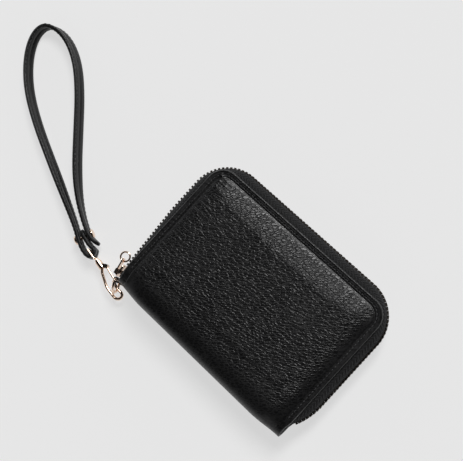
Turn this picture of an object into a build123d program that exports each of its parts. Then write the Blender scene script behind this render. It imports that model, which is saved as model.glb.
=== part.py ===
from build123d import *
import math
import os

# A zip-around wristlet wallet, lying closed on its back cover with its wrist strap
# laid out beside it. Millimetres. The origin is the centre of the flat face it rests
# on. X runs from the spine (-X) to the long zip side (+X), Y runs along the spine,
# and Z runs up through the thickness.

# ---- covers -----------------------------------------------------------------------
COVER_LENGTH = 140.0        # along the spine
COVER_WIDTH = 97.0          # from the spine to the long zip side
THICKNESS = 24.0            # over both padded covers
COVER_CORNER = 12.0         # rounded corners on the zip side
MID_Z = THICKNESS / 2
PUFF_RISE = 2.0             # how far the padded middle stands out from the border
PUFF_FOOT = 5.0             # flat border around the padding
PUFF_SLOPE = 11.0           # width of the padding's sloping edge
LEATHER = 1.2
CARD = 0.4                  # stiffener and zip tape share this layer
LINING = 0.4
SLOT_LAYER = 0.5            # one tier of card slots
SLOT_TIERS = 4
SLOT_STEP = 11.0            # each tier shows this much of the card behind it
SLOT_LENGTH = 96.0
SLOT_SPINE_X = -34.0
SLOT_MOUTH_X = 40.0

# ---- zip round three sides --------------------------------------------------------
CHAIN_X = 54.0              # centre line of the teeth on the long zip side
CHAIN_Y = 75.0              # and on the two short sides
CHAIN_CORNER = 25.0
CHAIN_START = (-48.0, 71.5)     # closed end, beside the strap
CHAIN_BEND = (6.0, 75.0)        # the short side is straight up to here
CHAIN_TUCK = (-34.4, -75.0)     # the far short side turns in here, towards the spine
CHAIN_END = (-47.7, -65.3)
BEND_RADIUS = 120.0
TUCK_RADIUS = 44.0
TAPE_FLANGE = 10.0          # tape sewn in between cover and lining
TAPE_EDGE = 5.4             # where the tape leaves the cover's edge
TOOTH_PITCH = 2.55
TOOTH_WIDTH = 1.1           # along the chain
TOOTH_DEPTH = 2.2           # through the chain
TOOTH_HEIGHT = 3.0
TOOTH_MESH = 0.4            # how far each row reaches past the middle
FIRST_TOOTH = 7.8           # clear chain before the first tooth, under the slider
STOP_LENGTH = 2.4

# ---- spine ------------------------------------------------------------------------
SPINE_EDGE_X = -49.3
SPINE_BULGE_X = -52.6
SPINE_LENGTH = 139.0
FOLD_X = -48.9              # the two fold lines that join the spine to the covers
FOLD_Z = 2.9
POUCH_LENGTH = 118.0
POUCH_SPINE_X = -46.5
POUCH_MOUTH_X = 34.0
POUCH_WALL = 0.8
POUCH_GAP = 1.6
POUCH_SEAM = 4.0

# ---- zip slider and pull ----------------------------------------------------------
SLIDER_LENGTH = 8.6
SLIDER_WIDTH = 7.4
SLIDER_PLATE = 1.0
SLIDER_X = -45.0
CHANNEL_HALF = 1.4          # half the room between the slider's two plates
PULL_PIVOT = (-47.8, 75.5)
PULL_ANGLE = 12.8
PULL_REACH = 8.1            # from pivot to eye
PULL_WIDTH = 4.2
PULL_SHEET = 0.9
PULL_PIN = 0.6
RING_RADIUS = 3.1
RING_WIRE = 0.6

# ---- D-ring and clasp -------------------------------------------------------------
RING_BAR = (-51.6, 72.8)    # the D-ring's straight side stands upright here
RING_TIP = (-58.7, 69.0)
RING_Z = 7.5
D_HALF = 5.5
D_WIRE = 0.9
CLASP_Z = 5.1               # the clasp lies level at this height
EYE_BAR = (-50.7, 100.1)
CLASP_HEADING = 80.5        # direction from hook to eye, in degrees from +X
HOOK_WIRE = 1.0
HOOK_ROUTE = [
    (-53.9, 75.3), (-55.9, 70.6), (-56.0, 65.4), (-58.9, 61.9),
    (-61.5, 66.6), (-60.1, 75.6), (-55.4, 84.6), (-52.9, 86.9),
]
HOOK_RADII = [6.0, 3.6, 2.6, 3.8, 9.0, 4.0]
GATE_PIVOT = (-50.4, 85.2)
GATE_TIP = (-52.8, 76.4)
GATE_WIRE = 0.8
EYE_WIRE = 0.55
EYE_HALF = 4.55
EYE_BAR_RADIUS = 1.1
EYE_LENGTH = 6.2
SWIVEL_POST = 0.9
SWIVEL_FIT = 0.06

# ---- strap ------------------------------------------------------------------------
STRAP_WIDTH = 7.6
STRAP_THICKNESS = 2.8
STRAP_BOTTOM = CLASP_Z - STRAP_WIDTH / 2
STRAP_ROUTE = [
    (-43.6, 98.6), (-44.9, 104.6), (-40.8, 115.0), (-31.6, 130.2), (-17.5, 146.5),
    (2.0, 164.3), (21.0, 181.8), (34.5, 197.5), (41.8, 213.0), (42.6, 226.0),
    (38.2, 234.6), (27.0, 234.6), (12.8, 226.0), (-1.8, 210.2), (-14.6, 188.0),
    (-26.8, 161.0), (-39.0, 133.6), (-45.8, 118.8), (-50.5, 110.6), (-53.6, 103.6),
    (-53.5, 97.3), (-47.9, 97.3), (-48.4, 104.4), (-44.7, 114.4),
]
FOLD_TURNS = {20: 2.7, 21: 2.7}     # the two tight turns round the eye's bar
RIVET_SPOT = (-46.9, 109.9)
RIVET_HEADING = 65.5        # the strap's direction at the rivet
RIVET_SHAFT = 1.1
RIVET_CAP = 3.1
RIVET_CAP_HEIGHT = 1.3
RIVET_FRONT = 5.55          # from the middle layer to the outer faces
RIVET_BACK = 5.2


def along(start, heading, distance):
    """The plan point at a distance from start, in a direction given in degrees."""
    turn = math.radians(heading)
    return (start[0] + distance * math.cos(turn), start[1] + distance * math.sin(turn))


def save(name, shape):
    shape.label = name
    export_step(shape, f"parts/{name}.step")


def slab(sketch, low, high):
    """A plan sketch raised into a plate between two heights."""
    return extrude(Plane.XY.offset(low) * sketch, high - low)


def box_between(low, high):
    size = [b - a for a, b in zip(low, high)]
    middle = [(a + b) / 2 for a, b in zip(low, high)]
    return Pos(*middle) * Box(*size)


def rod(start, end, radius):
    """A round bar between two points in space."""
    axis = Vector(*end) - Vector(*start)
    return extrude(Plane(Vector(*start), z_dir=axis) * Circle(radius), axis.length)


def sweep_round(path, radius):
    """A round wire along a path."""
    return sweep(Plane(path @ 0, z_dir=path % 0) * Circle(radius), path)


def flip(shape):
    """The front cover's copy of a back cover piece."""
    return mirror(shape, about=Plane.XY.offset(MID_Z))


# ---- shapes of the covers ---------------------------------------------------------
def cover_outline(inset):
    """The cover's outline, drawn in by inset: square at the spine, round at the zip."""
    half_x = COVER_WIDTH / 2 - inset
    half_y = COVER_LENGTH / 2 - inset
    corner = max(COVER_CORNER - inset / 2, 2.0)
    sheet = Rectangle(2 * half_x, 2 * half_y)
    zip_corners = sheet.vertices().group_by(Axis.X)[-1]
    return fillet(zip_corners, corner)


def chain_path():
    """The centre line of the zip's teeth, in plan."""
    return FilletPolyline(
        CHAIN_START, CHAIN_BEND, (CHAIN_X, CHAIN_Y), (CHAIN_X, -CHAIN_Y),
        CHAIN_TUCK, CHAIN_END,
        radius=[BEND_RADIUS, CHAIN_CORNER, CHAIN_CORNER, TUCK_RADIUS],
    )


def chain_region(inset):
    """Everything inside the zip, drawn in by inset, and cut off near the spine."""
    path = chain_path()
    end, start = path @ 1, path @ 0
    closing = Polyline(end, (SPINE_BULGE_X, end.Y), (SPINE_BULGE_X, start.Y), start)
    return offset(make_face(path.edges() + closing.edges()), -inset)


def puff(shrink):
    """The padded middle of the back cover, as a solid that thins towards its edge."""
    foot = cover_outline(PUFF_FOOT + shrink)
    crown = cover_outline(PUFF_FOOT + PUFF_SLOPE)
    top = PUFF_RISE + LEATHER * (shrink > 0)
    bottom = LEATHER * (shrink > 0)
    return loft([Plane.XY.offset(bottom) * crown, Plane.XY.offset(top) * foot])


def cover_leather():
    border = slab(cover_outline(0), PUFF_RISE, PUFF_RISE + LEATHER)
    return border + puff(0) - puff(LEATHER)


def cover_board():
    low = PUFF_RISE + LEATHER
    return slab(chain_region(TAPE_FLANGE + 0.5), low, low + CARD)


def cover_lining():
    low = PUFF_RISE + LEATHER + CARD
    return slab(chain_region(TAPE_EDGE + 1.3), low, low + LINING)


def card_slot(tier):
    """One tier: each reaches less far towards the mouth than the one below it."""
    low = PUFF_RISE + LEATHER + CARD + LINING + tier * SLOT_LAYER
    mouth = SLOT_MOUTH_X - tier * SLOT_STEP
    middle = (SLOT_SPINE_X + mouth) / 2
    sheet = Pos(middle, 0) * Rectangle(mouth - SLOT_SPINE_X, SLOT_LENGTH)
    return slab(sheet, low, low + SLOT_LAYER)


# ---- zip --------------------------------------------------------------------------
def zip_tape():
    """Tape that leaves the cover's edge and rises, leaning outwards, to the teeth."""
    low = PUFF_RISE + LEATHER
    top = MID_Z + TOOTH_MESH - TOOTH_HEIGHT
    half = CARD / 2
    section = Polyline(
        (-TAPE_FLANGE, low), (-TAPE_EDGE, low), (half, top - 1.0), (half, top),
        (-half, top), (-half, top - 0.9), (-TAPE_EDGE - 0.1, low + CARD),
        (-TAPE_FLANGE, low + CARD), close=True,
    )
    path = chain_path()
    frame = Plane(path @ 0, x_dir=outward(path, 0), z_dir=path % 0)
    upright = 1 if frame.y_dir.Z > 0 else -1
    face = make_face(section.edges())
    if upright < 0:
        face = mirror(face, about=Plane.XZ)
    return sweep(frame * face, path)


def outward(path, at):
    """The plan direction that points out of the wallet, square to the chain."""
    heading = path % at
    return Vector(-heading.Y, heading.X, 0)


def tooth(path, distance):
    """One tooth of the lower row, with a head slightly narrower than its foot."""
    spot = path @ (distance / path.length)
    heading = path % (distance / path.length)
    low = MID_Z + TOOTH_MESH - TOOTH_HEIGHT
    frame = Plane(Vector(spot.X, spot.Y, low), x_dir=heading, z_dir=(0, 0, 1))
    foot = Rectangle(TOOTH_WIDTH + 0.3, TOOTH_DEPTH)
    head = Rectangle(TOOTH_WIDTH, TOOTH_DEPTH - 0.5)
    neck = 1.2
    body = extrude(frame * foot, neck)
    return body + extrude(frame.offset(neck) * head, TOOTH_HEIGHT - neck)


def tooth_row(shift):
    path = chain_path()
    room = path.length - 2 * FIRST_TOOTH - STOP_LENGTH
    count = int(room / TOOTH_PITCH)
    return [tooth(path, FIRST_TOOTH + (n + shift) * TOOTH_PITCH) for n in range(count)]


def zip_stop(distance):
    """The small block that ends the chain, on the back cover's side."""
    path = chain_path()
    spot = path @ (distance / path.length)
    heading = path % (distance / path.length)
    low = MID_Z + TOOTH_MESH - TOOTH_HEIGHT
    frame = Plane(Vector(spot.X, spot.Y, low), x_dir=heading, z_dir=(0, 0, 1))
    block = extrude(frame * Rectangle(STOP_LENGTH, TOOTH_DEPTH), TOOTH_HEIGHT)
    return block


# ---- slider and pull --------------------------------------------------------------
def slider_frame():
    """On the chain at the slider: X along the chain, Y out of the wallet, Z up."""
    slope = (CHAIN_BEND[1] - CHAIN_START[1]) / (CHAIN_BEND[0] - CHAIN_START[0])
    y = CHAIN_START[1] + slope * (SLIDER_X - CHAIN_START[0])
    return Plane((SLIDER_X, y, MID_Z), x_dir=(1, slope, 0), z_dir=(0, 0, 1))


def slider_plate(side):
    """One of the slider's two plates: side is 1 outside the wallet and -1 inside."""
    frame = slider_frame()
    plate = Box(SLIDER_LENGTH, SLIDER_PLATE, SLIDER_WIDTH)
    upright = plate.edges().filter_by(Axis.Y)
    plate = fillet(upright, 1.6)
    return frame.location * Pos(0, side * (CHANNEL_HALF + SLIDER_PLATE / 2), 0) * plate


def slider_lug():
    """The lug on the outer plate that the pull turns in."""
    pivot = slider_frame().to_local_coords(Vector(*PULL_PIVOT, MID_Z))
    low = CHANNEL_HALF + SLIDER_PLATE
    high = pivot.Y + PULL_PIN + 0.7
    lug = box_between((pivot.X - 1.3, low, -0.9), (pivot.X + 1.3, high, 0.9))
    bridge = box_between((pivot.X, low, -0.9), (SLIDER_LENGTH / 2 - 0.6, low + 0.7, 0.9))
    hole = Pos(pivot.X, pivot.Y, 0) * Cylinder(PULL_PIN + 0.05, 4.0)
    return slider_frame().location * (lug + bridge - hole)


def pull_bar():
    """A flat tongue that stands on edge, with a fork and pin at the slider."""
    frame = Plane((*PULL_PIVOT, MID_Z), x_dir=(*along((0, 0), PULL_ANGLE, 1), 0),
                  z_dir=(0, 0, 1))
    half = PULL_WIDTH / 2
    sheet = PULL_SHEET / 2
    tongue = box_between((1.9, -sheet, -half), (PULL_REACH + 1.9, sheet, half))
    tongue = fillet(tongue.edges().filter_by(Axis.Y), 1.0)
    eye = Pos(PULL_REACH, 0, 0) * Rot(90, 0, 0) * Cylinder(1.1, 3.0)
    upper = box_between((-1.0, -1.0, 1.1), (2.4, 1.0, half))
    lower = box_between((-1.0, -1.0, -half), (2.4, 1.0, -1.1))
    pin = Cylinder(PULL_PIN, PULL_WIDTH)
    return frame.location * (tongue - eye + upper + lower + pin)


def pull_ring():
    eye = along(PULL_PIVOT, PULL_ANGLE, PULL_REACH)
    middle = along(eye, PULL_ANGLE, RING_RADIUS)
    return Pos(*middle, MID_Z) * Torus(RING_RADIUS, RING_WIRE)


# ---- spine ------------------------------------------------------------------------
def spine_strip(outer, inner):
    """A curved wall along the spine, between two depths behind its outer face."""
    low = FOLD_Z + 0.3
    high = THICKNESS - low
    half = SPINE_LENGTH / 2
    far = ThreePointArc(
        (SPINE_EDGE_X + outer, low), (SPINE_BULGE_X + outer, MID_Z),
        (SPINE_EDGE_X + outer, high))
    near = ThreePointArc(
        (SPINE_EDGE_X + inner, high), (SPINE_BULGE_X + inner, MID_Z),
        (SPINE_EDGE_X + inner, low))
    ends = [Line(far @ 1, near @ 0), Line(near @ 1, far @ 0)]
    face = make_face(far.edges() + near.edges() + ends[0].edges() + ends[1].edges())
    upright = Plane((0, half, 0), x_dir=(1, 0, 0), z_dir=(0, -1, 0))
    return extrude(upright * face, SPINE_LENGTH)


def ring_tab():
    """The leather loop that holds the D-ring's straight side."""
    thick = 0.9
    radius = D_WIRE + 0.1
    reach = RING_BAR[1] - SPINE_LENGTH / 2
    low, high = RING_Z - D_HALF + 2.0, RING_Z + D_HALF - 2.0
    loop = Circle(radius + thick)
    leg = Pos(1.0, -reach / 2) * Rectangle(2 * thick, reach)
    sheet = Pos(*RING_BAR) * (loop + leg - Circle(radius))
    return slab(sheet, low, high)


def pouch_wall(low):
    middle = (POUCH_SPINE_X + POUCH_MOUTH_X) / 2
    sheet = Pos(middle, 0) * Rectangle(POUCH_MOUTH_X - POUCH_SPINE_X, POUCH_LENGTH)
    return slab(sheet, low, low + POUCH_WALL)


def pouch_binding():
    """The seam that joins the pouch's walls at the spine and at both ends."""
    low = MID_Z - POUCH_GAP / 2
    half = POUCH_LENGTH / 2
    middle = (POUCH_SPINE_X + POUCH_MOUTH_X) / 2
    sheet = Pos(middle, 0) * Rectangle(POUCH_MOUTH_X - POUCH_SPINE_X, POUCH_LENGTH)
    inside = box_between(
        (POUCH_SPINE_X + POUCH_SEAM, -half + POUCH_SEAM, low - 1),
        (POUCH_MOUTH_X + 1, half - POUCH_SEAM, low + POUCH_GAP + 1))
    return slab(sheet, low, low + POUCH_GAP) - inside


def pouch_tape():
    """Tape along the pouch's mouth, between its walls."""
    half = POUCH_LENGTH / 2 - POUCH_SEAM
    return box_between(
        (POUCH_MOUTH_X - 3.0, -half, MID_Z - 0.3), (POUCH_MOUTH_X + 2.2, half, MID_Z + 0.3))


def pouch_teeth():
    half = POUCH_LENGTH / 2 - POUCH_SEAM
    pitch = 1.6
    count = int(2 * half / pitch)
    low_x = POUCH_MOUTH_X + 2.2
    return [
        box_between(
            (low_x, -half + n * pitch, MID_Z - 0.7),
            (low_x + 1.8, -half + n * pitch + 0.9, MID_Z + 0.7))
        for n in range(count)
    ]


def pouch_slider():
    """A small cap that rides over the pouch's teeth, with a lug for its pull."""
    middle = (POUCH_MOUTH_X + 3.1, POUCH_LENGTH / 2 - 11.0, MID_Z)
    shell = Box(4.6, 6.0, 4.0)
    channel = Pos(-0.5, 0, 0) * Box(4.0, 8.0, 2.0)
    lug = Pos(3.0, 0, 0) * Box(1.6, 1.6, 2.4)
    hole = Pos(3.0, 0, 0) * Rot(90, 0, 0) * Cylinder(0.45, 4.0)
    return Pos(*middle) * (shell - channel + lug - hole)


def pouch_pull():
    """A flat pull with a fork whose pin turns in the pouch slider's lug."""
    pivot = (POUCH_MOUTH_X + 6.1, POUCH_LENGTH / 2 - 11.0, MID_Z)
    tongue = Pos(5.2, 0, 0) * Box(6.0, 3.6, 0.9)
    tongue = fillet(tongue.edges().filter_by(Axis.Z), 1.0)
    cheeks = [Pos(1.2, side * 1.35, 0) * Box(3.2, 0.9, 0.9) for side in (-1, 1)]
    pin = Rot(90, 0, 0) * Cylinder(0.4, 3.6)
    return Pos(*pivot) * (tongue + cheeks[0] + cheeks[1] + pin)


# ---- D-ring and clasp -------------------------------------------------------------
def d_ring():
    reach = math.dist(RING_BAR, RING_TIP)
    heading = (RING_TIP[0] - RING_BAR[0], RING_TIP[1] - RING_BAR[1], 0)
    frame = Plane((*RING_BAR, RING_Z), x_dir=heading,
                  z_dir=Vector(*heading).cross(Vector(0, 0, 1)))
    loop = FilletPolyline(
        (0, -D_HALF), (0, D_HALF), (reach, D_HALF), (reach, -D_HALF),
        radius=[1.2, 1.2, D_HALF - 0.1, D_HALF - 0.1], close=True)
    return sweep_round(frame * loop, D_WIRE)


def clasp_point(distance, height=0.0):
    """A point on the clasp's swivel axis, measured back from the eye's bar."""
    x, y = along(EYE_BAR, CLASP_HEADING, -distance)
    return (x, y, CLASP_Z + height)


def clasp_hook():
    """Teardrop hook of round wire, with a barrel that the eye swivels in."""
    path = Pos(0, 0, CLASP_Z) * FilletPolyline(*HOOK_ROUTE, radius=HOOK_RADII)
    wire = sweep_round(path, HOOK_WIRE)
    barrel = rod(clasp_point(13.6), clasp_point(8.8), 2.2)
    bore = rod(clasp_point(12.0), clasp_point(8.0), SWIVEL_POST + SWIVEL_FIT)
    lugs = [
        slab(make_hull((Pos(*GATE_PIVOT) * Circle(1.3)).edges()
                       + (Pos(-51.9, 87.4) * Circle(1.3)).edges()), low, low + 0.8)
        for low in (CLASP_Z - 2.0, CLASP_Z + 1.2)
    ]
    pin = Pos(*GATE_PIVOT, CLASP_Z) * Cylinder(0.5, 4.0)
    return wire + barrel + lugs[0] + lugs[1] + pin - bore


def clasp_gate():
    """The sprung arm that closes the hook."""
    heading = math.degrees(math.atan2(GATE_TIP[1] - GATE_PIVOT[1],
                                      GATE_TIP[0] - GATE_PIVOT[0]))
    start = along(GATE_PIVOT, heading, 0.9)
    arm = rod((*start, CLASP_Z), (*GATE_TIP, CLASP_Z), GATE_WIRE)
    barrel = Pos(*GATE_PIVOT, CLASP_Z) * Cylinder(1.15, 2.2)
    hole = Pos(*GATE_PIVOT, CLASP_Z) * Cylinder(0.55, 6.0)
    return arm + barrel - hole


def clasp_eye():
    """The upright eye that the strap folds round, on a post that turns in the barrel."""
    bar = rod(clasp_point(0, -EYE_HALF), clasp_point(0, EYE_HALF), EYE_BAR_RADIUS)
    near = rod(clasp_point(EYE_LENGTH, -EYE_HALF), clasp_point(EYE_LENGTH, EYE_HALF), 0.7)
    legs = [
        rod(clasp_point(-0.9, side * EYE_HALF), clasp_point(EYE_LENGTH + 0.5, side * EYE_HALF),
            EYE_WIRE)
        for side in (-1, 1)
    ]
    post = rod(clasp_point(11.8), clasp_point(EYE_LENGTH), SWIVEL_POST)
    collar = rod(clasp_point(8.7), clasp_point(7.4), 1.7)
    return bar + near + legs[0] + legs[1] + post + collar


# ---- strap ------------------------------------------------------------------------
def turn_at(before, point, after):
    """How far the route turns at a point, in degrees."""
    arriving = Vector(*point) - Vector(*before)
    leaving = Vector(*after) - Vector(*point)
    return arriving.get_angle(leaving)


def strap_radii():
    """The largest arc that each corner's runs leave room for."""
    radii = []
    for n in range(1, len(STRAP_ROUTE) - 1):
        before, point, after = STRAP_ROUTE[n - 1:n + 2]
        shorter = min(math.dist(before, point), math.dist(point, after))
        half_turn = math.radians(turn_at(before, point, after) / 2)
        radii.append(FOLD_TURNS.get(n, 0.45 * shorter / math.tan(half_turn)))
    return radii


def strap_path():
    return FilletPolyline(*STRAP_ROUTE, radius=strap_radii())


def strap_band():
    """The strap stands on its edge: a band of its thickness, as high as its width."""
    path = Pos(0, 0, CLASP_Z) * strap_path()
    section = Rectangle(STRAP_THICKNESS, STRAP_WIDTH)
    start = Plane(path @ 0, x_dir=outward(path, 0), z_dir=path % 0)
    return sweep(start * section, path)


def rivet_frame():
    """At the strap's middle layer, with Z out through the side that shows."""
    out = along((0, 0), RIVET_HEADING - 90, 1)
    return Plane((*RIVET_SPOT, CLASP_Z), x_dir=(0, 0, 1), z_dir=(*out, 0))


def rivet_shaft(spare=0.0):
    """The shaft from cap to cap, or with spare at each end the hole that it fills."""
    start = rivet_frame().offset(-RIVET_BACK - spare)
    return extrude(start * Circle(RIVET_SHAFT), RIVET_FRONT + RIVET_BACK + 2 * spare)


def rivet_cap(offset_out, side):
    """A low domed cap: side is 1 on the face that shows and -1 on the other."""
    flat = Plane.XY * Circle(RIVET_CAP)
    cap = extrude(flat, RIVET_CAP_HEIGHT)
    cap = fillet(cap.faces().sort_by(Axis.Z)[-1].edges(), RIVET_CAP_HEIGHT - 0.3)
    place = rivet_frame().location * Pos(0, 0, side * offset_out)
    return place * (cap if side > 0 else Rot(180, 0, 0) * cap)


def write_cover(side, place):
    """All the pieces of one cover. place puts a back cover piece on its own side."""
    save(f"{side}_cover_leather", place(cover_leather()))
    save(f"{side}_foam_pad", place(puff(LEATHER)))
    save(f"{side}_board", place(cover_board()))
    save(f"{side}_lining", place(cover_lining()))
    save(f"{side}_zip_tape", place(zip_tape()))
    shift = 0.0 if side == "back" else 0.5
    save(f"{side}_zip_teeth", Compound([place(piece) for piece in tooth_row(shift)]))
    for tier in range(SLOT_TIERS):
        save(f"{side}_card_slot_{tier + 1}", place(card_slot(tier)))


def main():
    os.makedirs("parts", exist_ok=True)
    write_cover("back", lambda shape: shape)
    write_cover("front", flip)
    save("zip_stop_closed_end", zip_stop(STOP_LENGTH / 2 + 1.0))
    save("zip_stop_open_end", zip_stop(chain_path().length - STOP_LENGTH / 2 - 1.0))

    save("spine_leather", spine_strip(0.0, LEATHER))
    save("spine_lining", spine_strip(LEATHER, LEATHER + LINING))
    save("d_ring_tab", ring_tab())
    save("pouch_wall_back", pouch_wall(MID_Z - POUCH_GAP / 2 - POUCH_WALL))
    save("pouch_wall_front", pouch_wall(MID_Z + POUCH_GAP / 2))
    save("pouch_binding", pouch_binding())
    save("pouch_zip_tape", pouch_tape())
    save("pouch_zip_teeth", Compound(pouch_teeth()))
    save("pouch_zip_slider", pouch_slider())
    save("pouch_zip_pull", pouch_pull())

    save("zip_slider_outer", slider_plate(1) + slider_lug())
    save("zip_slider_inner", slider_plate(-1))
    save("zip_pull_bar", pull_bar())
    save("zip_pull_ring", pull_ring())

    save("d_ring", d_ring())
    save("clasp_hook", clasp_hook())
    save("clasp_gate", clasp_gate())
    save("clasp_eye", clasp_eye())

    band = strap_band()
    length = strap_path().length
    print("strap radii", [round(radius, 1) for radius in strap_radii()])
    print("strap length", round(length, 1), "volume", round(band.volume, 1),
          "section x length", round(STRAP_THICKNESS * STRAP_WIDTH * length, 1))
    save("wrist_strap", band - rivet_shaft(1.0))
    save("strap_rivet_shaft", rivet_shaft())
    save("strap_rivet_front", rivet_cap(RIVET_FRONT, 1))
    save("strap_rivet_back", rivet_cap(RIVET_BACK, -1))


main()
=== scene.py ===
import math

import bpy
from mathutils import Matrix, Vector, noise


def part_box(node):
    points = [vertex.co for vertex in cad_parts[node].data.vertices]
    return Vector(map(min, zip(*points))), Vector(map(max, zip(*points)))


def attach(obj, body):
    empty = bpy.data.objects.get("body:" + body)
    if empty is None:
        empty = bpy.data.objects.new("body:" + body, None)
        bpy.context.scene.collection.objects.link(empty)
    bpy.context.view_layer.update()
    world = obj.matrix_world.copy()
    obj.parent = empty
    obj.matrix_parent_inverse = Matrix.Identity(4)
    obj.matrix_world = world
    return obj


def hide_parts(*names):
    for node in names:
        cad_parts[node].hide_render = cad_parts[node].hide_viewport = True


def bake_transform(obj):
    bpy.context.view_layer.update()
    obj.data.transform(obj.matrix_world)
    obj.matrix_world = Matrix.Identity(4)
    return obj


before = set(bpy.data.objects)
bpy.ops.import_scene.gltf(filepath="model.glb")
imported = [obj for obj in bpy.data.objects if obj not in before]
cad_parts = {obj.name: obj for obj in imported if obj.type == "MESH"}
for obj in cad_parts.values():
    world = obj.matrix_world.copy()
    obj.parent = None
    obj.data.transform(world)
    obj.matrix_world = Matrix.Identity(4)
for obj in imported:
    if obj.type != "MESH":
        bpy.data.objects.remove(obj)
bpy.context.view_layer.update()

MM = 0.001

# ---- sizes, in millimetres, as in the CAD frame -------------------------------------
HALF_LENGTH = 70.0          # covers, along the spine
HALF_WIDTH = 48.5           # covers, from spine to long zip side
COVER_CORNER = 12.0
MID_Z = 12.0
BORDER_HALF = 10.0          # from the middle plane to the flat border
PUFF_RISE = 2.0
PUFF_FOOT = 4.9             # the padding starts to rise this far in from the edge
PUFF_SLOPE = 11.0
EDGE_RADIUS = 0.7           # of the turned edge
TURNED_FOLD = (0.8, 0.36, 0.22)         # ridges round the border: inset, width, height
STITCH_INSET = 3.2
STITCH_TRENCH = (STITCH_INSET, 0.34, -0.24)
BORDER_GROOVE = (4.5, 0.62, -0.42)
SHELL = 1.7                 # leather, stiffener and turned edge together
ROLL_X = -37.0              # the cover starts to roll over into the spine here
ROLL_WIDTH = 15.8
END_TUCK = 0.9              # the spine is this much shorter at each end than the covers
ROLL_POWER = 0.70           # squares the roll's section: 1 would make it an ellipse
SPINE_END_PULL = 1.6        # the spine bulges less towards its two ends
SEAM_TURN = 152.0           # the back piece meets the spine at this turn
SWELL_INSET = 8.0           # the padding swells inside this border
SWELL_CAP = 0.35
SWELL_FRAMES = 20
COVER_GRID = (7.0, 0.35, 1.1)           # of its mesh: fine border, fine step, coarse step
PANEL_GRID = (1.5, 0.3, 2.2)            # the same, for linings, slots and pouch walls
GRAIN_TURN = 47.0           # degrees; the grain runs at a slant to the spine

CHAIN_ROUTE = [(-48.0, 71.5), (6.0, 75.0), (54.0, 75.0), (54.0, -75.0), (-34.4, -75.0), (-47.7, -65.3)]
CHAIN_RADII = [120.0, 25.0, 25.0, 44.0]
TAPE_STEP = 1.2
TAPE_THICK = 0.45
TAPE_PROFILE = [            # (out from the chain's middle, height), from under the cover to the teeth
    (-9.5, 3.75), (-6.6, 3.8), (-5.4, 4.0), (-4.2, 4.6), (-2.9, 5.5), (-1.6, 6.6),
    (-1.0, 7.5), (-0.6, 8.3), (-0.45, 8.9), (-0.4, 9.4),
]
RIM_INSET = 0.45            # the corded rim stands this far inside the chain's middle
RIM_HEIGHT = 9.15
RIM_RADIUS = 0.45

STRAP_WIDTH = 7.6
STRAP_HALF = 1.4
GROOVE_DEPTH = 0.6          # of the groove between the strap's two rolled beads
STRAP_STEP = 1.0            # between the rings of its mesh
STRAP_TIP = 5.0             # its two ends taper over this length
STITCH_AT = 3.05            # from the strap's middle to its two rows of stitches
STRAP_LEAN = 28.0           # degrees that the standing strap leans
STRAP_ROUTE = [
    (-43.6, 98.6, 5.1), (-44.9, 104.6, 5.1), (-40.8, 115.0, 5.0), (-31.6, 130.2, 4.7),
    (-17.5, 146.5, 4.5), (2.0, 164.3, 4.5), (21.0, 181.8, 4.5), (34.5, 197.5, 4.5),
    (41.8, 213.0, 4.4), (42.6, 226.0, 4.2), (38.2, 234.6, 4.1), (27.0, 234.6, 4.1),
    (12.8, 226.0, 4.3), (-1.8, 210.2, 4.5), (-14.6, 188.0, 4.5), (-26.8, 161.0, 4.5),
    (-39.0, 133.6, 4.6), (-45.8, 118.8, 4.9), (-50.5, 110.6, 5.1), (-53.6, 103.6, 5.1),
    (-54.0, 96.6, 5.1), (-47.6, 96.6, 5.1), (-48.4, 104.4, 5.1), (-44.7, 114.4, 5.1),
]

TAB_BAR = (-51.6, 72.8)     # the D-ring's bar, which the tab folds round
TAB_NEAR = [(-50.2, 67.6), (-50.3, 69.6)]
TAB_FAR = [(-51.9, 69.4), (-51.6, 67.6)]


# ---- small helpers ------------------------------------------------------------------
def metres(point):
    return Vector(point) * MM


def smooth(t):
    t = max(0.0, min(1.0, t))
    return t * t * (3 - 2 * t)


def new_object(name, verts, faces, material):
    mesh = bpy.data.meshes.new(name)
    mesh.from_pydata([tuple(v) for v in verts], [], faces)
    mesh.update()
    mesh.polygons.foreach_set("use_smooth", [True] * len(mesh.polygons))
    obj = bpy.data.objects.new(name, mesh)
    bpy.context.scene.collection.objects.link(obj)
    mesh.materials.append(material)
    return obj


def spread(low, high, edge, fine, coarse):
    """Values from low to high, fine within edge of both ends and coarse between."""
    count = round(edge / fine)
    start = [low + n * fine for n in range(count)]
    middle = round((high - low - 2 * edge) / coarse)
    between = [low + edge + n * (high - low - 2 * edge) / middle for n in range(middle + 1)]
    end = [high - n * fine for n in range(count)][::-1]
    return start + between + end


def grid_faces(rows, columns, flip=False):
    faces = []
    for r in range(rows - 1):
        for c in range(columns - 1):
            a = r * columns + c
            quad = (a, a + 1, a + columns + 1, a + columns)
            faces.append(quad[::-1] if flip else quad)
    return faces


def rounded(points, radii, step):
    """(place, direction) pairs, step apart, along straight runs joined by arcs."""
    places = [Vector(points[0])]
    for n, radius in enumerate(radii, start=1):
        before, corner, after = (Vector(points[k]) for k in (n - 1, n, n + 1))
        arriving = (corner - before).normalized()
        leaving = (after - corner).normalized()
        turn = arriving.angle_signed(leaving)
        reach = radius * math.tan(abs(turn) / 2)
        side = -1 if turn > 0 else 1
        centre = corner - arriving * reach + Vector((-arriving.y, arriving.x)) * radius * side
        arm = corner - arriving * reach - centre
        count = max(2, int(abs(turn) * radius / step))
        for k in range(count + 1):
            angle = -turn * k / count
            places.append(centre + Vector((
                arm.x * math.cos(angle) - arm.y * math.sin(angle),
                arm.x * math.sin(angle) + arm.y * math.cos(angle))))
    places.append(Vector(points[-1]))
    return even(places, step)


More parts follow.
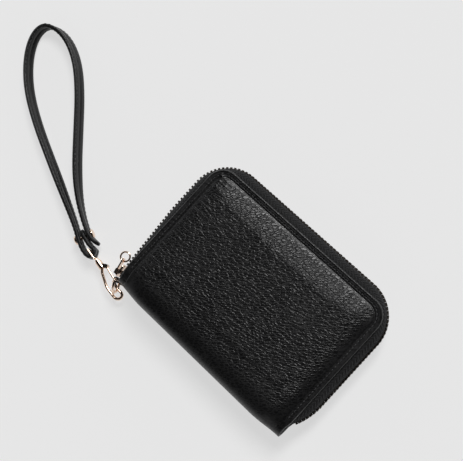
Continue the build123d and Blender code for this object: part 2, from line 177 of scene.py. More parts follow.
def round_corner(x, y, half_x, half_y, inset, radius):
    """Moves a point of a square ring, inset from the outline, to where the ring would
    pass if its corners were round."""
    a, b = half_x - inset, half_y - inset
    if radius <= 0 or abs(x) < a - radius or abs(y) < b - radius:
        return x, y
    if a - abs(x) < b - abs(y):
        angle = (abs(y) - (b - radius)) / radius * math.pi / 4
    else:
        angle = math.pi / 2 - (abs(x) - (a - radius)) / radius * math.pi / 4
    return (math.copysign(a - radius + radius * math.cos(angle), x),
            math.copysign(b - radius + radius * math.sin(angle), y))


def even(places, step):
    """The same line with evenly spaced points, each with its direction."""
    lengths = [0.0]
    for a, b in zip(places, places[1:]):
        lengths.append(lengths[-1] + (b - a).length)
    count = max(2, round(lengths[-1] / step))
    out, k = [], 0
    for n in range(count + 1):
        want = lengths[-1] * n / count
        while k < len(places) - 2 and lengths[k + 1] < want:
            k += 1
        part = (want - lengths[k]) / max(lengths[k + 1] - lengths[k], 1e-9)
        out.append((places[k].lerp(places[k + 1], part), (places[k + 1] - places[k]).normalized()))
    return out


def capsules(name, places, material, radius, half, segments=6):
    """Short threads, a little flat and with both ends dipping: each place is (middle,
    direction, up) in metres."""
    dip, flatness, least = 0.35, 0.8, 0.05
    rings = [(-1.0, 0.0), (-0.9, 0.6), (-0.6, 0.95), (0.0, 1.0), (0.6, 0.95), (0.9, 0.6), (1.0, 0.0)]
    verts, faces = [], []
    for middle, heading, up in places:
        side = heading.cross(up).normalized()
        base = len(verts)
        for along, wide in rings:
            for s in range(segments):
                angle = 2 * math.pi * s / segments
                sag = up * (-dip * radius * along * along)
                arm = side * math.cos(angle) + up * math.sin(angle) * flatness
                verts.append(middle + heading * half * along + sag + arm * radius * max(wide, least))
        for r in range(len(rings) - 1):
            for s in range(segments):
                a = base + r * segments + s
                b = base + r * segments + (s + 1) % segments
                faces.append((a, b, b + segments, a + segments))
        faces.append(tuple(base + s for s in range(segments))[::-1])
        last = base + (len(rings) - 1) * segments
        faces.append(tuple(last + s for s in range(segments)))
    return new_object(name, verts, faces, material)


# ---- materials ----------------------------------------------------------------------
class Shader:
    """A principled material and short ways to wire nodes into it."""

    def __init__(self, name, colour, roughness, metallic=0.0):
        self.material = bpy.data.materials.new(name)
        self.material.use_nodes = True
        self.tree = self.material.node_tree
        self.bsdf = self.tree.nodes["Principled BSDF"]
        self.bsdf.inputs["Base Color"].default_value = (*colour, 1)
        self.bsdf.inputs["Roughness"].default_value = roughness
        self.bsdf.inputs["Metallic"].default_value = metallic

    def add(self, kind, inputs=None, **settings):
        node = self.tree.nodes.new(kind)
        for key, value in settings.items():
            setattr(node, key, value)
        for key, value in (inputs or {}).items():
            if isinstance(value, bpy.types.NodeSocket):
                self.tree.links.new(value, node.inputs[key])
            else:
                node.inputs[key].default_value = value
        return node

    def coordinates(self, which="Object", scale=(1, 1, 1), turn=0.0):
        source = self.add("ShaderNodeTexCoord").outputs[which]
        return self.add("ShaderNodeMapping", {
            "Vector": source, "Scale": scale, "Rotation": (0, 0, math.radians(turn)),
        }).outputs[0]

    def noise(self, vector, scale, detail=3.0):
        return self.add("ShaderNodeTexNoise", {
            "Vector": vector, "Scale": scale, "Detail": detail}).outputs["Fac"]

    def math(self, operation, a, b=0.0):
        return self.add("ShaderNodeMath", {0: a, 1: b}, operation=operation).outputs[0]

    def remap(self, value, low, high, to_low, to_high, kind="LINEAR"):
        return self.add("ShaderNodeMapRange", {
            "Value": value, "From Min": low, "From Max": high,
            "To Min": to_low, "To Max": to_high}, interpolation_type=kind).outputs[0]

    def mix(self, factor, first, second):
        return self.add("ShaderNodeMix", {
            0: factor, 6: (*first, 1), 7: (*second, 1)}, data_type="RGBA").outputs[2]

    def bump(self, height, distance, strength=1.0):
        node = self.add("ShaderNodeBump", {
            "Height": height, "Distance": distance, "Strength": strength})
        self.tree.links.new(node.outputs[0], self.bsdf.inputs["Normal"])

    def link(self, output, name):
        self.tree.links.new(output, self.bsdf.inputs[name])


def warped(shader, vector, scale, amount):
    """The coordinates pushed about by a noise, so that cells aren't regular."""
    wander = shader.add("ShaderNodeTexNoise", {"Vector": vector, "Scale": scale, "Detail": 2.0})
    shift = shader.add("ShaderNodeVectorMath", {0: wander.outputs["Color"], 1: (0.5, 0.5, 0.5)},
                       operation="SUBTRACT").outputs[0]
    shift = shader.add("ShaderNodeVectorMath", {0: shift, "Scale": amount},
                       operation="SCALE").outputs[0]
    return shader.add("ShaderNodeVectorMath", {0: vector, 1: shift}, operation="ADD").outputs[0]


def cells(shader, vector, scale):
    return shader.add("ShaderNodeTexVoronoi", {"Vector": vector, "Scale": scale},
                      feature="DISTANCE_TO_EDGE").outputs["Distance"]


def grained_leather():
    """Black pebbled leather. The pebbles are longer one way than the other. They fade on
    the border, on the spine and by the short side away from the strap, and gather into
    small creases by the short side at the strap."""
    s = Shader("black_pebbled_leather", (0.005, 0.005, 0.005), 0.35)
    plain = s.coordinates()
    turned = s.coordinates(turn=GRAIN_TURN)
    place = s.add("ShaderNodeVectorMath", {0: turned, 1: (0.64, 1.4, 0.64)},
                  operation="MULTIPLY").outputs[0]
    place = warped(s, place, 330.0, 0.0011)
    pebbles = s.remap(cells(s, place, 500.0), 0.0, 0.24, 0.0, 1.0, "SMOOTHSTEP")
    small = s.remap(cells(s, place, 1150.0), 0.0, 0.22, 0.0, 1.0, "SMOOTHSTEP")
    grain = s.math("ADD", pebbles, s.math("MULTIPLY", small, 0.10))
    grain = s.math("ADD", grain, s.math("MULTIPLY", s.noise(place, 2500.0, 1.0), 0.05))
    split = s.add("ShaderNodeSeparateXYZ", {0: plain})
    x, y = split.outputs["X"], split.outputs["Y"]
    inset = s.math("MINIMUM", s.math("SUBTRACT", HALF_WIDTH * MM, x),
                   s.math("SUBTRACT", HALF_LENGTH * MM, s.math("ABSOLUTE", y)))
    inside = s.remap(inset, 0.0045, 0.0075, 0.08, 1.0, "SMOOTHSTEP")
    flat = s.math("MULTIPLY", s.remap(x, -0.047, -0.028, 0.05, 1.0, "SMOOTHSTEP"),
                  s.remap(y, -0.066, -0.055, 0.10, 1.0, "SMOOTHSTEP"))
    flat = s.math("MULTIPLY", flat, inside)
    turning = s.remap(y, 0.050, 0.060, 0.0, 1.0, "SMOOTHSTEP")
    stretched = s.add("ShaderNodeVectorMath", {
        0: warped(s, plain, 150.0, 0.0010), 1: (1.0, 0.10, 0.3)}, operation="MULTIPLY").outputs[0]
    creases = s.math("MULTIPLY", s.noise(stretched, 620.0, 1.5), s.math("MULTIPLY", turning, 6.0))
    grain = s.math("MULTIPLY", grain, s.remap(turning, 0.0, 1.0, 1.0, 0.7))
    height = s.math("MULTIPLY", s.math("ADD", grain, creases), flat)
    s.bump(height, 0.00015, 1.0)
    patches = s.noise(plain, 38.0, 4.0)
    s.link(s.mix(patches, (0.0035, 0.0035, 0.0039), (0.0075, 0.0073, 0.0076)), "Base Color")
    rough = s.math("ADD", s.remap(pebbles, 0.0, 1.0, 0.48, 0.30),
                   s.remap(patches, 0.3, 0.7, -0.03, 0.04))
    s.link(rough, "Roughness")
    s.bsdf.inputs["Specular IOR Level"].default_value = 0.5
    return s.material


def smooth_leather(name, tone, roughness):
    """Thin smooth black leather with fine pores and faint creases."""
    s = Shader(name, (tone, tone, tone * 1.06), roughness)
    place = warped(s, s.coordinates(), 500.0, 0.0006)
    creases = s.remap(cells(s, place, 1300.0), 0.0, 0.2, 0.0, 1.0, "SMOOTHSTEP")
    height = s.math("ADD", creases, s.math("MULTIPLY", s.noise(place, 4000.0), 0.15))
    s.bump(height, 0.00003, 0.8)
    patches = s.noise(s.coordinates(), 60.0, 4.0)
    s.link(s.mix(patches, (tone * 0.7,) * 3, (tone * 1.35,) * 3), "Base Color")
    s.link(s.remap(patches, 0.3, 0.7, roughness - 0.06, roughness + 0.07), "Roughness")
    s.bsdf.inputs["Specular IOR Level"].default_value = 0.44
    return s.material


def woven(name, colour, pitch, roughness=0.85):
    """Twill: two sets of threads crossing. The pitch is in metres per thread."""
    s = Shader(name, colour, roughness)
    place = s.coordinates()
    split = s.add("ShaderNodeSeparateXYZ", {0: place})
    step = 2 * math.pi / pitch
    slanted = s.math("ADD", split.outputs["X"], split.outputs["Z"])
    ribs = s.math("SINE", s.math("MULTIPLY", s.math("ADD", slanted, split.outputs["Y"]), step))
    cross = s.math("SINE", s.math("MULTIPLY", s.math("SUBTRACT", split.outputs["Y"], slanted), step))
    height = s.math("ADD", ribs, s.math("MULTIPLY", cross, 0.6))
    height = s.math("ADD", height, s.noise(place, 4000.0))
    s.bump(height, pitch * 0.2, 0.5)
    # Painted shade and highlight: the colour darkens where the weave sits low and lightens on its raised
    # threads.
    shade = s.remap(height, -1.2, 2.0, 0.0, 1.0)
    s.link(s.mix(shade, tuple(c * 0.55 for c in colour), tuple(c * 1.4 for c in colour)), "Base Color")
    s.bsdf.inputs["Sheen Weight"].default_value = 0.12
    return s.material


def tape_cloth():
    """Zip tape: rows of herringbone that follow the tape, from its UVs in metres."""
    s = Shader("zip_tape_weave", (0.008, 0.008, 0.009), 0.78)
    row_width, rib_pitch, cord_pitch = 0.0022, 0.0025, 0.0006
    split = s.add("ShaderNodeSeparateXYZ", {0: s.coordinates("UV")})
    fold = s.math("PINGPONG", split.outputs["Y"], row_width)
    slant = s.math("ADD", split.outputs["X"], fold)
    ribs = s.math("SINE", s.math("MULTIPLY", slant, 2 * math.pi / rib_pitch))
    cords = s.math("SINE", s.math("MULTIPLY", slant, 2 * math.pi / cord_pitch))
    fuzz = s.noise(s.coordinates(), 1800.0)
    height = s.math("ADD", s.math("ADD", ribs, s.math("MULTIPLY", cords, 0.15)), fuzz)
    s.bump(height, 0.00022, 0.9)
    # Painted shade and highlight: the colour darkens in the herringbone's low rows and lightens on its
    # ribs and cords.
    s.link(s.mix(s.remap(height, -0.8, 1.8, 0.0, 1.0), (0.002, 0.002, 0.0022), (0.015, 0.015, 0.016)),
           "Base Color")
    s.bsdf.inputs["Specular IOR Level"].default_value = 0.3
    s.bsdf.inputs["Sheen Weight"].default_value = 0.04
    return s.material


def metal(name, colour, roughness, scratch):
    """Plated metal with faint scratches and slightly uneven polish."""
    s = Shader(name, colour, roughness, 1.0)
    cloud = s.noise(s.coordinates(), 420.0, 5.0)
    lines = s.noise(s.coordinates(scale=(1, 9, 1), turn=30), 2600.0, 2.0)
    s.link(s.remap(cloud, 0.3, 0.7, roughness * 0.75, roughness * 1.4), "Roughness")
    s.link(s.mix(cloud, tuple(c * 0.93 for c in colour), tuple(min(1, c * 1.04) for c in colour)),
           "Base Color")
    s.bump(lines, scratch, 0.25)
    return s.material


def thread(name, colour):
    """Waxed thread: tight twisted plies."""
    s = Shader(name, colour, 0.5)
    place = s.coordinates()
    twist = s.add("ShaderNodeTexWave", {"Vector": place, "Scale": 900.0, "Distortion": 1.5},
                  bands_direction="DIAGONAL").outputs["Fac"]
    s.bump(twist, 0.00008, 0.6)
    # Painted shade and highlight: the colour darkens in the twist's grooves and lightens on the plies'
    # crests.
    s.link(s.mix(twist, tuple(c * 0.6 for c in colour), tuple(c * 1.3 for c in colour)), "Base Color")
    return s.material


LEATHER = grained_leather()
STRAP_SKIN = smooth_leather("black_strap_leather", 0.004, 0.30)
SLOT_SKIN = smooth_leather("black_slot_leather", 0.016, 0.50)
EDGE_PAINT = smooth_leather("black_edge_paint", 0.003, 0.42)
LINING = woven("black_twill_lining", (0.034, 0.034, 0.038), 0.0007)
TAPE = tape_cloth()
TEETH = metal("dark_tooth_metal", (0.075, 0.062, 0.052), 0.34, 0.00003)
GOLD = metal("pale_rose_gold", (0.90, 0.70, 0.56), 0.15, 0.00001)
THREAD = thread("black_waxed_thread", (0.050, 0.050, 0.052))


# ---- camera, floor and light --------------------------------------------------------
CAMERA_LENS = 75
CAMERA_PLACE = (23.0, -109.9, 596.7)
CAMERA_RIGHT = (0.6732, -0.7163, -0.1837)
CAMERA_DOWN = (-0.7395, -0.6532, -0.1627)
CAMERA_AHEAD = (-0.0035, 0.2453, -0.9694)
FLOOR_HALF = 60.0           # metres, so that its edge is never in view
FLOOR_DROP = 0.0004
SUNS = [                    # name, towards the light, strength, angle across in degrees
    ("key", (0.64, 0.16, 0.70), 1.35, 20),
    ("strip", (0.46, 0.25, 0.85), 0.55, 12),
    ("rim", (-0.80, -0.30, 0.50), 0.12, 30),
]


def make_camera():
    data = bpy.data.cameras.new("camera")
    data.lens = CAMERA_LENS
    data.sensor_width = 36
    data.clip_start = 0.01
    camera = bpy.data.objects.new("camera", data)
    bpy.context.scene.collection.objects.link(camera)
    turn = Matrix((CAMERA_RIGHT, [-c for c in CAMERA_DOWN], [-c for c in CAMERA_AHEAD])).transposed()
    camera.matrix_world = Matrix.Translation(metres(CAMERA_PLACE)) @ turn.to_4x4()
    bpy.context.scene.camera = camera


def make_sun(name, towards, strength, across):
    """A distant softbox: towards points from the object to the light."""
    data = bpy.data.lights.new(name, "SUN")
    data.energy = strength
    data.angle = math.radians(across)
    light = bpy.data.objects.new(name, data)
    bpy.context.scene.collection.objects.link(light)
    light.rotation_euler = Vector(towards).to_track_quat("Z", "Y").to_euler()


def make_stage():
    s = Shader("pale_floor", (0.30, 0.30, 0.30), 0.9)
    s.link(s.mix(s.noise(s.coordinates(), 3.0), (0.298,) * 3, (0.302,) * 3), "Base Color")
    s.bsdf.inputs["Specular IOR Level"].default_value = 0.1
    s.bsdf.inputs["Emission Color"].default_value = (1.0, 1.0, 1.0, 1)
    s.bsdf.inputs["Emission Strength"].default_value = 0.62
    corners = [(-1, -1), (1, -1), (1, 1), (-1, 1)]
    floor = new_object("floor", [(x * FLOOR_HALF, y * FLOOR_HALF, -FLOOR_DROP) for x, y in corners],
                       [(0, 1, 2, 3)], s.material)
    make_world()
    bpy.context.scene.view_settings.view_transform = "Standard"
    for sun in SUNS:
        make_sun(*sun)


def make_world():
    """A studio tent: bright walls, dimmer on the spine's side, and a dark top, so that
    black leather seen from above stays black and its edges are drawn by the walls."""
    world = bpy.data.worlds.new("studio")
    world.use_nodes = True
    nodes, links = world.node_tree.nodes, world.node_tree.links
    direction = nodes.new("ShaderNodeTexCoord").outputs["Generated"]
    split = nodes.new("ShaderNodeSeparateXYZ")
    links.new(direction, split.inputs[0])
    strength = nodes.new("ShaderNodeMath")
    strength.operation = "MULTIPLY"
    fades = [               # axis, from and to along it, strength at each
        ("Z", 0.05, 0.48, 1.30, 0.01),
        ("X", -0.95, -0.35, 0.35, 1.0),
    ]
    for n, (axis, low, high, to_low, to_high) in enumerate(fades):
        fade = nodes.new("ShaderNodeMapRange")
        fade.interpolation_type = "SMOOTHSTEP"
        fade.inputs["From Min"].default_value = low
        fade.inputs["From Max"].default_value = high
        fade.inputs["To Min"].default_value = to_low
        fade.inputs["To Max"].default_value = to_high
        links.new(split.outputs[axis], fade.inputs["Value"])
        links.new(fade.outputs[0], strength.inputs[n])
    links.new(strength.outputs[0], nodes["Background"].inputs["Strength"])
    nodes["Background"].inputs["Color"].default_value = (0.97, 0.98, 1.0, 1)
    bpy.context.scene.world = world


# ---- strap --------------------------------------------------------------------------
def strap_line():
    """Evenly spaced points of the strap's own NURBS line, in metres."""
    data = bpy.data.curves.new("strap_line", "CURVE")
    data.dimensions = "3D"
    data.resolution_u = 24
    spline = data.splines.new("NURBS")
    spline.points.add(len(STRAP_ROUTE) - 1)
    for point, place in zip(spline.points, STRAP_ROUTE):
        point.co = (*metres(place), 1)
    spline.order_u = 3
    spline.use_endpoint_u = True
    curve = bpy.data.objects.new("strap_line", data)
    bpy.context.scene.collection.objects.link(curve)
    mesh = bpy.data.meshes.new_from_object(curve)
    places = [v.co.copy() for v in mesh.vertices]
    bpy.data.meshes.remove(mesh)
    bpy.data.objects.remove(curve)
    return even(places, STRAP_STEP * MM)


def strap_frames(line):
    """(place, heading, out, up) along the strap. It leans to the same quarter on both
    legs, and stands upright where it is held at the eye."""
    lean_to = Vector((-0.683, 0.730, 0.0))
    vertical = Vector((0, 0, 1))
    held_near, ease_near, held_far, ease_far = 14, 45, 34, 55       # in points of the line
    total = len(line) - 1
    frames = []
    for n, (place, _) in enumerate(line):
        heading = line[min(n + 2, total)][0] - line[max(n - 2, 0)][0]
        heading.z = 0
        heading.normalize()
        side = Vector((-heading.y, heading.x, 0))
        free = smooth((n - held_near) / ease_near) * smooth((total - held_far - n) / ease_far)
        lean = math.radians(STRAP_LEAN) * side.dot(lean_to) * free
        up = vertical * math.cos(lean) + side * math.sin(lean)
        out = side * math.cos(lean) - vertical * math.sin(lean)
        frames.append((place, heading, out, up))
    return frames


def bead_height(across):
    """From the strap's middle layer to its face, at this distance from its middle line."""
    swell = math.sin(math.pi * abs(across) / (STRAP_WIDTH / 2)) ** 0.6
    return STRAP_HALF - GROOVE_DEPTH * (1 - swell)


def strap_section():
    """Outline round the strap as (out, up): on each face two rolled beads with a groove
    between them."""
    half_w = STRAP_WIDTH / 2
    margin = 0.1
    face = []
    steps = 30
    for k in range(steps + 1):
        across = -half_w + margin + (2 * half_w - 2 * margin) * k / steps
        face.append((bead_height(across), across))
    rim = [(0.7, half_w), (0.0, half_w + 0.05), (-0.7, half_w)]
    back = [(-o, a) for o, a in face[::-1]]
    return face + rim + back + [(-o, -a) for o, a in rim]


def strap_mesh(frames, section):
    """The section carried along the strap, narrower and thinner at its two tips."""
    tip_width, tip_thickness = 0.18, 0.6
    size = len(section)
    total = len(frames)
    verts, faces = [], []
    for n, (place, _, out, up) in enumerate(frames):
        short = max(0.0, 1 - min(n, total - 1 - n) * STRAP_STEP / STRAP_TIP)
        full = math.sqrt(max(0.0, 1 - short ** 2.4))
        for o, a in section:
            narrowed = a * (tip_width + (1 - tip_width) * full)
            thinned = o * (tip_thickness + (1 - tip_thickness) * full)
            verts.append(place + (out * thinned + up * narrowed) * MM)
    for n in range(total - 1):
        for k in range(size):
            a, b = n * size + k, n * size + (k + 1) % size
            faces.append((a, b, b + size, a + size))
    faces.append(tuple(range(size)))
    faces.append(tuple((total - 1) * size + k for k in range(size))[::-1])
    strap = new_object("leather_strap", verts, faces, STRAP_SKIN)
    strap.data.materials.append(EDGE_PAINT)
    painted = {k for k, (_, a) in enumerate(section) if abs(a) > STRAP_WIDTH / 2 - 0.3}
    for polygon in strap.data.polygons[:-2]:
        if {v % size for v in polygon.vertices} <= painted:
            polygon.material_index = 1
    return strap


def strap_stitching(frames):
    """Two rows on each face, every third ring, clear of the tips."""
    threads = []
    for place, heading, out, up in frames[8:len(frames) - 8:3]:
        for face in (1, -1):
            for row in (STITCH_AT, -STITCH_AT):
                middle = place + (out * face * bead_height(row) + up * row) * MM
                threads.append((middle, heading, out * face))
    return capsules("strap_stitches", threads, THREAD, 0.22 * MM, 1.05 * MM)


def make_strap():
    line = strap_line()
    frames = strap_frames(line)
    strap = strap_mesh(frames, strap_section())
    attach(strap, "strap")
    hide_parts("wrist_strap")
    stitches = strap_stitching(frames)
    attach(stitches, "strap")


# ---- covers and spine ---------------------------------------------------------------
def at_corner(x, y):
    """Moves a point of the plain grid so that its ring is round at the zip corners."""
    if x <= 0:
        return x, y
    inset = min(HALF_WIDTH - x, HALF_LENGTH - abs(y))
    radius = max(COVER_CORNER - 0.75 * inset, 0.0)
    return round_corner(x, y, HALF_WIDTH, HALF_LENGTH, inset, radius)


def ridge(inset, at, width, height):
    return height * math.exp(-((inset - at) / width) ** 2)


def relief(x, y):
    """How far the leather stands above the border plane: padding, ridges and edge."""
    to_zip, to_end = HALF_WIDTH - x, HALF_LENGTH - abs(y)
    inset = min(to_zip, to_end)
    puff = PUFF_RISE * smooth((to_zip - PUFF_FOOT) / PUFF_SLOPE) ** 0.8
    puff *= smooth((to_end - PUFF_FOOT) / PUFF_SLOPE) ** 0.8
    ridges = sum(ridge(inset, *shape) for shape in (BORDER_GROOVE, TURNED_FOLD, STITCH_TRENCH))
    past = max(0.0, (EDGE_RADIUS - inset) / EDGE_RADIUS)
    edge = -EDGE_RADIUS * (1 - math.sqrt(max(0.0, 1 - past ** 2)))
    wave = 0.10 * noise.noise(Vector((x * 0.07, y * 0.06, 2.0))) * smooth((inset - 7) / 10)
    return puff + ridges + edge + wave


def shell_point(x, turn, y):
    """On the outer face: x on the cover, or turn in degrees round the spine."""
    if turn <= 0:
        px, py = at_corner(x, y)
        return Vector((px, py, MID_Z + BORDER_HALF + relief(x, y)))
    angle = math.radians(turn)
    to_end = HALF_LENGTH - abs(y)
    width = ROLL_WIDTH - SPINE_END_PULL * (1 - smooth(to_end / 22))
    rise = BORDER_HALF + relief(ROLL_X, y)
    across = abs(math.sin(angle)) ** ROLL_POWER
    height = math.copysign(abs(math.cos(angle)) ** ROLL_POWER, math.cos(angle))
    tucked = y * (1 - END_TUCK / HALF_LENGTH * smooth(turn / 25) * smooth((180 - turn) / 25))
    return Vector((ROLL_X - width * across, tucked, MID_Z + rise * height))


def shell_mesh(name, last_turn):
    """Cover and roll as one grid, with a row of points about every 3 degrees of the roll."""
    xs = spread(ROLL_X, HALF_WIDTH, *COVER_GRID)[::-1]
    xs = [x for x in xs if x > ROLL_X + 3.0] + [ROLL_X + 2.0, ROLL_X + 1.0, ROLL_X]
    columns = [(x, 0.0) for x in xs]
    steps = int(last_turn / 3.0)
    columns += [(ROLL_X, last_turn * k / steps) for k in range(1, steps + 1)]
    ys = spread(-HALF_LENGTH, HALF_LENGTH, *COVER_GRID)
    verts = [shell_point(x, turn, y) * MM for y in ys for x, turn in columns]
    return new_object(name, verts, grid_faces(len(ys), len(columns), flip=True), LEATHER)


def inflate(obj, held, cap):
    """Lets the padded middle swell as cloth under pressure. held says which points
    stay. It is simulated ten times life size, and no point moves further than cap."""
    grow = 10.0
    sheet = obj.copy()
    sheet.data = obj.data.copy()
    bpy.context.scene.collection.objects.link(sheet)
    sheet.data.transform(Matrix.Scale(grow, 4))
    group = sheet.vertex_groups.new(name="held")
    group.add([v.index for v in obj.data.vertices if held(v.co)], 1.0, "REPLACE")
    cloth = sheet.modifiers.new("cloth", "CLOTH")
    settings = cloth.settings
    settings.vertex_group_mass = "held"
    settings.quality = 4
    settings.mass = 0.1
    settings.use_pressure = True
    settings.uniform_pressure_force = 3.0
    settings.effector_weights.gravity = 0.0
    scene = bpy.context.scene
    for n in range(1, SWELL_FRAMES + 1):
        scene.frame_set(n)
    posed = sheet.evaluated_get(bpy.context.evaluated_depsgraph_get())
    moved = [v.co.copy() / grow for v in posed.data.vertices]
    for vertex, place in zip(obj.data.vertices, moved):
        shift = place - vertex.co
        if shift.length > cap:
            shift *= cap / shift.length
        vertex.co += shift
    bpy.data.objects.remove(sheet)
    scene.frame_set(1)


def thicken(obj, thickness, offset=-1.0):
    """Inwards from the mesh, or to both sides of it with an offset of 0."""
    solid = obj.modifiers.new("thickness", "SOLIDIFY")
    solid.thickness = thickness * MM
    solid.offset = offset
    solid.use_even_offset = False


def soften(obj, width):
    bevel = obj.modifiers.new("edge", "BEVEL")
    bevel.width = width * MM
    bevel.segments = 2
    bevel.limit_method = "ANGLE"
    return bevel


def mirror_z(obj):
    """The back cover's side of the middle plane."""
    for v in obj.data.vertices:
        v.co.z = 2 * MID_Z * MM - v.co.z
    obj.data.flip_normals()


def border_held(co):
    """True for the border, the roll and whatever is no higher than the border plane."""
    x, y, z = (c / MM for c in co)
    inset = min(HALF_WIDTH - x, HALF_LENGTH - abs(y))
    return inset < SWELL_INSET or x < ROLL_X + 6 or abs(z - MID_Z) < BORDER_HALF + 0.2


def make_covers():
    front = shell_mesh("front_cover_and_spine", SEAM_TURN)
    back = shell_mesh("back_cover", 180.0 - SEAM_TURN)
    mirror_z(back)
    inflate(front, border_held, SWELL_CAP * MM)
    thicken(front, SHELL)
    thicken(back, SHELL)
    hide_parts("front_cover_leather", "front_foam_pad", "front_board", "spine_leather")
    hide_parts("back_cover_leather", "back_foam_pad", "back_board")
    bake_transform(front)
    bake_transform(back)
    for side, sign in (("front", 1), ("back", -1)):
        stitches = cover_stitches(side, sign)
        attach(stitches, side)


def cover_stitches(side, sign):
    """The row of stitches just inside the cover's turned edge, on its three zip sides."""
    x, y = HALF_WIDTH - STITCH_INSET, HALF_LENGTH - STITCH_INSET
    pitch = 2.5
    line = rounded([(ROLL_X - 3, y), (x, y), (x, -y), (ROLL_X - 3, -y)],
                   [COVER_CORNER - 0.75 * STITCH_INSET] * 2, pitch)
    up = Vector((0, 0, sign))
    z = MID_Z + sign * (BORDER_HALF - 0.02)
    places = []
    for place, heading in line[1:-1]:
        places.append((metres((place.x, place.y, z)), Vector((heading.x, heading.y, 0)), up))
    return capsules(f"{side}_cover_stitches", places, THREAD, 0.27 * MM, 0.85 * MM)


# ---- zip tapes ----------------------------------------------------------------------
def make_tape(side, sign):
    """Woven tape from under the cover's edge out to the teeth, with its corded rim."""
    line = rounded(CHAIN_ROUTE, CHAIN_RADII, TAPE_STEP)
    verts, uvs = [], []
    for n, (place, heading) in enumerate(line):
        out = Vector((-heading.y, heading.x))
        wander = 0.12 * math.sin(n * 0.23 + 1.3 * math.sin(n * 0.07))
        across = 0.0
        last = TAPE_PROFILE[0]
        for offset, z in TAPE_PROFILE:
            across += math.dist(last, (offset, z))
            last = (offset, z)
            ripple = wander * smooth((z - 3.8) / 3) * smooth((9.2 - z) / 2)
            spot = place + out * (offset + ripple)
            height = z if sign < 0 else 2 * MID_Z - z
            verts.append(metres((spot.x, spot.y, height)))
            uvs.append((n * TAPE_STEP * MM, across * MM))
    faces = grid_faces(len(line), len(TAPE_PROFILE), flip=sign > 0)
    tape = new_object(f"{side}_tape", verts, faces, TAPE)
    layer = tape.data.uv_layers.new(name="along")
    for loop in tape.data.loops:
        layer.data[loop.index].uv = uvs[loop.vertex_index]
    thicken(tape, TAPE_THICK, offset=0.0)
    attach(tape, side)
    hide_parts(f"{side}_zip_tape")
    rim_z = RIM_HEIGHT if sign < 0 else 2 * MID_Z - RIM_HEIGHT
    rim_line = [place - Vector((-heading.y, heading.x)) * RIM_INSET for place, heading in line]
    rim = tube(f"{side}_tape_cord", [metres((p.x, p.y, rim_z)) for p in rim_line], RIM_RADIUS * MM, TAPE)
    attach(rim, side)


def tube(name, places, radius, material, segments=10):
    """A round cord along places in metres, closed at both ends."""
    verts, faces = [], []
    total = len(places)
    for n, place in enumerate(places):
        heading = (places[min(n + 1, total - 1)] - places[max(n - 1, 0)]).normalized()
        side = heading.cross(Vector((0, 0, 1))).normalized()
        up = side.cross(heading)
        for s in range(segments):
            angle = 2 * math.pi * s / segments
            verts.append(place + (side * math.cos(angle) + up * math.sin(angle)) * radius)
    for n in range(total - 1):
        for s in range(segments):
            a, b = n * segments + s, n * segments + (s + 1) % segments
            faces.append((a, b, b + segments, a + segments))
    faces.append(tuple(range(segments))[::-1])
    faces.append(tuple((total - 1) * segments + s for s in range(segments)))
    return new_object(name, verts, faces, material)


# ---- lining, card slots and coin pouch ----------------------------------------------
def cad_plate(node):
    """Low and high corner of a CAD node's box, in millimetres."""
    low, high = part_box(node)
    return Vector(low) / MM, Vector(high) / MM


def panel(name, node, material, corner, crown=0.0, dip=0.0):
    """A soft flat panel in the place of a CAD plate: rounded corners, rolled rim, a
    slight crown, and on card slots a shallow thumb dip in the mouth edge."""
    low, high = cad_plate(node)
    middle = (low + high) / 2
    half_x, half_y, half_z = (high - low) / 2
    rim_radius, dip_half, crown_reach = 0.35, 14, 14
    xs = spread(-half_x, half_x, *PANEL_GRID)
    ys = spread(-half_y, half_y, *PANEL_GRID)
    verts = []
    for side in (1, -1):
        for y in ys:
            for x in xs:
                inset = min(half_x - abs(x), half_y - abs(y))
                px, py = round_corner(x, y, half_x, half_y, inset, max(corner - inset, 0.0))
                px -= dip * math.exp(-(py / dip_half) ** 4) * smooth((x + half_x) / (2 * half_x))
                past = max(0.0, (rim_radius - inset) / rim_radius)
                rim = math.sqrt(max(0.0, 1 - past ** 2))
                bulge = crown * smooth(inset / crown_reach)
                z = side * (half_z * (0.25 + 0.75 * rim)) + bulge
                verts.append(metres((middle.x + px, middle.y + py, middle.z + z)))
    count = len(xs) * len(ys)
    faces = grid_faces(len(ys), len(xs))
    faces += [tuple(v + count for v in f)[::-1] for f in grid_faces(len(ys), len(xs))]
    ring = (list(range(len(xs)))
            + [r * len(xs) + len(xs) - 1 for r in range(1, len(ys))]
            + [(len(ys) - 1) * len(xs) + c for c in range(len(xs) - 2, -1, -1)]
            + [r * len(xs) for r in range(len(ys) - 2, 0, -1)])
    for a, b in zip(ring, ring[1:] + ring[:1]):
        faces.append((b, a, a + count, b + count))
    return new_object(name, verts, faces, material)


def pocket_threads(node, sign):
    """Stitches along a card slot's two ends and its mouth, left out at the thumb dip."""
    low, high = cad_plate(node)
    pitch = 2.6
    z = (high.z if sign < 0 else low.z) - sign * 0.02
    up = Vector((0, 0, -sign))
    threads = []
    for y in (low.y + 2.0, high.y - 2.0):
        for k in range(int((high.x - low.x - 6) / pitch)):
            threads.append((metres((high.x - 3 - k * pitch, y, z)), Vector((1, 0, 0)), up))
    for k in range(int((high.y - low.y - 40) / pitch)):
        y = low.y + 5 + k * pitch if k % 2 else high.y - 5 - k * pitch
        if abs(y) > 18:
            threads.append((metres((high.x - 2.2, y, z)), Vector((0, 1, 0)), up))
    return threads


def make_cover_inside(side, sign):
    """A cover's lining and its four card slots."""
    lining = panel(f"{side}_lining_cloth", f"{side}_lining", LINING, corner=17.0)
    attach(lining, side)
    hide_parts(f"{side}_lining")
    threads = []
    for tier in range(1, 5):
        node = f"{side}_card_slot_{tier}"
        pocket = panel(f"{side}_card_pocket_{tier}", node, SLOT_SKIN, corner=2.5, dip=1.6)
        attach(pocket, side)
        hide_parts(node)
        threads += pocket_threads(node, sign)
    stitches = capsules(f"{side}_pocket_stitches", threads, THREAD, 0.18 * MM, 0.95 * MM)
    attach(stitches, side)


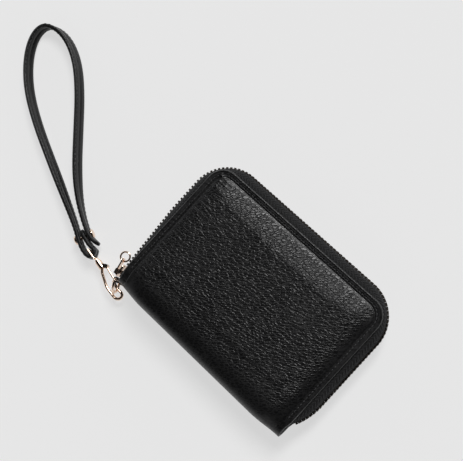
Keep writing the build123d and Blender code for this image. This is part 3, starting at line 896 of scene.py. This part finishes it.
def make_pouch():
    """The coin pouch's two walls, its zip tape and its binding."""
    for node, material, crown, slot in (("pouch_wall_back", SLOT_SKIN, -0.4, "lining"),
                                        ("pouch_wall_front", SLOT_SKIN, 0.4, "lining"),
                                        ("pouch_zip_tape", TAPE, 0.0, "zip_tape")):
        piece = panel(f"{node}_cloth", node, material, corner=3.0, crown=crown)
        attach(piece, "spine")
        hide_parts(node)
    make_binding()


def make_binding():
    """Folded tape round the pouch's three closed sides."""
    low, high = cad_plate("pouch_binding")
    inset, corner, radius = 1.6, 3.0, 1.35
    line = rounded([(high.x - 1, high.y - inset), (low.x + inset, high.y - inset),
                    (low.x + inset, low.y + inset), (high.x - 1, low.y + inset)], [corner] * 2, 1.5)
    places = [metres((p.x, p.y, MID_Z)) for p, _ in line]
    piece = tube("pouch_binding_tape", places, radius * MM, TAPE)
    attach(piece, "spine")
    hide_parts("pouch_binding")


def make_spine_lining():
    """Twill lining inside the spine, following its curve from 40 to 140 degrees."""
    rows, columns = 60, 24
    margin = 1.5
    verts = []
    for r in range(rows + 1):
        y = -HALF_LENGTH + margin + 2 * (HALF_LENGTH - margin) * r / rows
        for c in range(columns + 1):
            point = shell_point(ROLL_X, 40 + 100 * c / columns, y)
            inward = Vector((1.0, 0, (MID_Z - point.z) / 14)).normalized()
            verts.append((point + inward * (SHELL + 0.25)) * MM)
    piece = new_object("spine_lining_cloth", verts, grid_faces(rows + 1, columns + 1), LINING)
    thicken(piece, 0.3)
    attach(piece, "spine")
    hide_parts("spine_lining")


def make_tab():
    """Leather loop stitched into the spine's end, folded round the D-ring's bar."""
    low, high = cad_plate("d_ring_tab")
    radius, first, sweep, steps = 1.5, -62, 304, 24
    fold = []
    for k in range(steps + 1):
        angle = math.radians(first + sweep * k / steps)
        fold.append((TAB_BAR[0] + radius * math.cos(angle), TAB_BAR[1] + radius * math.sin(angle)))
    outline = TAB_NEAR + fold + TAB_FAR
    rows = 10
    verts = []
    for r in range(rows + 1):
        z = low.z + (high.z - low.z) * r / rows
        verts += [metres((x, y, z)) for x, y in outline]
    piece = new_object("ring_tab_leather", verts, grid_faces(rows + 1, len(outline)), STRAP_SKIN)
    thicken(piece, 0.75, offset=0.0)
    soften(piece, 0.15)
    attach(piece, "spine")
    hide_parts("d_ring_tab")


# ---- CAD pieces that stay -----------------------------------------------------------
GOLD_NODES = [
    "zip_slider_outer", "zip_slider_inner", "zip_pull_bar", "zip_pull_ring", "d_ring", "clasp_hook",
    "clasp_gate", "clasp_eye", "strap_rivet_shaft", "strap_rivet_front", "strap_rivet_back",
    "pouch_zip_slider", "pouch_zip_pull",
]
DARK_NODES = [
    "back_zip_teeth", "front_zip_teeth", "pouch_zip_teeth", "zip_stop_closed_end", "zip_stop_open_end",
]


def finish_cad(names, material, edge):
    """Material, smooth shading and a small bevel on metal and zip pieces."""
    for name in names:
        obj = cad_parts[name]
        obj.data.materials.clear()
        obj.data.materials.append(material)
        bevel = soften(obj, edge)
        bevel.angle_limit = math.radians(40)
        bevel.harden_normals = False
        for polygon in obj.data.polygons:
            polygon.use_smooth = True


make_camera()
make_stage()
make_strap()
make_covers()
make_tape("back", -1)
make_tape("front", 1)
make_cover_inside("back", -1)
make_cover_inside("front", 1)
make_pouch()
make_spine_lining()
make_tab()
finish_cad(GOLD_NODES, GOLD, 0.18)
finish_cad(DARK_NODES, TEETH, 0.14)
